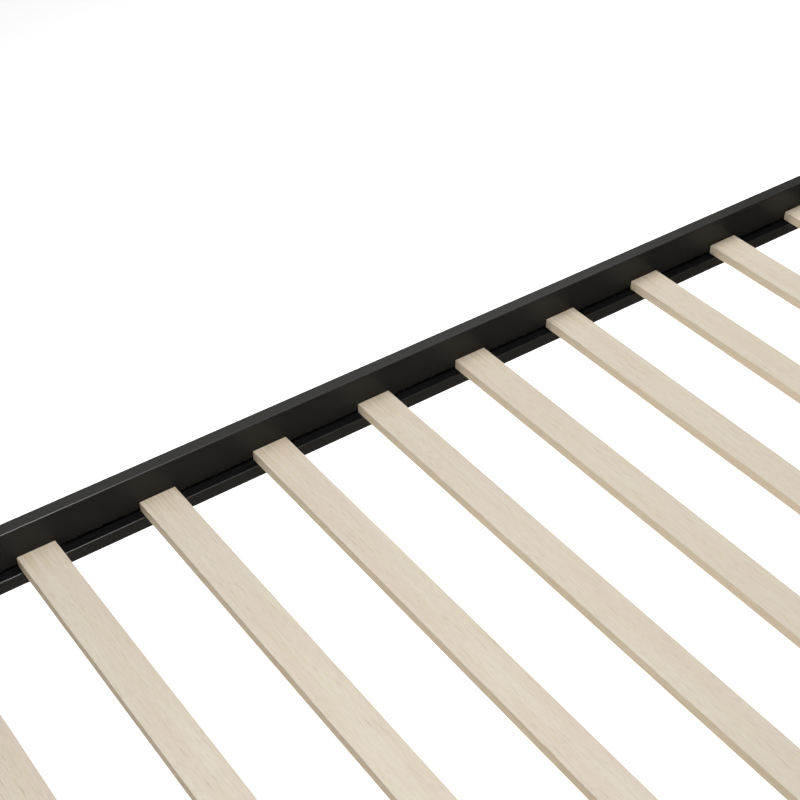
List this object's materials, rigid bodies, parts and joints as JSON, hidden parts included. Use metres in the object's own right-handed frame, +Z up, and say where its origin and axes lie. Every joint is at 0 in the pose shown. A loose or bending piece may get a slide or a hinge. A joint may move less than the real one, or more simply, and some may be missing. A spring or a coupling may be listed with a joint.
{
  "type": "metal bed frame",
  "caption": "Low single bed frame of rectangular steel tube, with a deck of flat wooden slats lying on ledges inside the side rails.",
  "frame": {"origin": "on the floor, under the centre of the frame", "axes": "+Z up, +Y towards the head end, +X across the bed"},
  "size_m": [0.95, 2.092, 0.355],
  "materials": {
    "black_steel": "satin black powder coat",
    "slat_wood": "planed, unfinished pale wood",
    "grip_felt": "black non-woven felt strip",
    "black_plastic": "matt moulded",
    "zinc_steel": "bright zinc plate"
  },
  "bodies": {
    "frame": {"foot_rail": "black_steel", "grip_strip_left": "grip_felt", "grip_strip_right": "grip_felt", "head_rail": "black_steel", "leg_bush_foot_left": "black_plastic", "leg_bush_foot_right": "black_plastic", "leg_bush_head_left": "black_plastic", "leg_bush_head_right": "black_plastic", "leg_foot_left": "black_steel", "leg_foot_right": "black_steel", "leg_head_left": "black_steel", "leg_head_right": "black_steel", "leg_top_cap_foot_left": "black_plastic", "leg_top_cap_foot_right": "black_plastic", "leg_top_cap_head_left": "black_plastic", "leg_top_cap_head_right": "black_plastic", "leg_weld_nuts": "zinc_steel", "rail_end_plate_left_foot": "black_steel", "rail_end_plate_left_head": "black_steel", "rail_end_plate_right_foot": "black_steel", "rail_end_plate_right_head": "black_steel", "side_rail_left": "black_steel", "side_rail_right": "black_steel", "side_rail_screws": "zinc_steel", "side_rail_washers": "zinc_steel", "slat_01": "slat_wood", "slat_02": "slat_wood", "slat_03": "slat_wood", "slat_04": "slat_wood", "slat_05": "slat_wood", "slat_06": "slat_wood", "slat_07": "slat_wood", "slat_08": "slat_wood", "slat_09": "slat_wood", "slat_10": "slat_wood", "slat_11": "slat_wood", "slat_12": "slat_wood", "slat_ledge_left": "black_steel", "slat_ledge_right": "black_steel"},
    "levelling_foot_foot_left": {"leveller_pad_foot_left": "black_plastic", "leveller_stud_foot_left": "zinc_steel"},
    "levelling_foot_foot_right": {"leveller_pad_foot_right": "black_plastic", "leveller_stud_foot_right": "zinc_steel"},
    "levelling_foot_head_left": {"leveller_pad_head_left": "black_plastic", "leveller_stud_head_left": "zinc_steel"},
    "levelling_foot_head_right": {"leveller_pad_head_right": "black_plastic", "leveller_stud_head_right": "zinc_steel"}
  },
  "joints": [
    {"name": "levelling_foot_left", "type": "slide", "parent": "frame", "child": "levelling_foot_foot_left", "axis": [0, 0, -1], "range_m": [0, 0.012]},
    {"name": "levelling_foot_right", "type": "slide", "parent": "frame", "child": "levelling_foot_foot_right", "axis": [0, 0, -1], "range_m": [0, 0.012]},
    {"name": "levelling_head_left", "type": "slide", "parent": "frame", "child": "levelling_foot_head_left", "axis": [0, 0, -1], "range_m": [0, 0.012]},
    {"name": "levelling_head_right", "type": "slide", "parent": "frame", "child": "levelling_foot_head_right", "axis": [0, 0, -1], "range_m": [0, 0.012]}
  ]
}
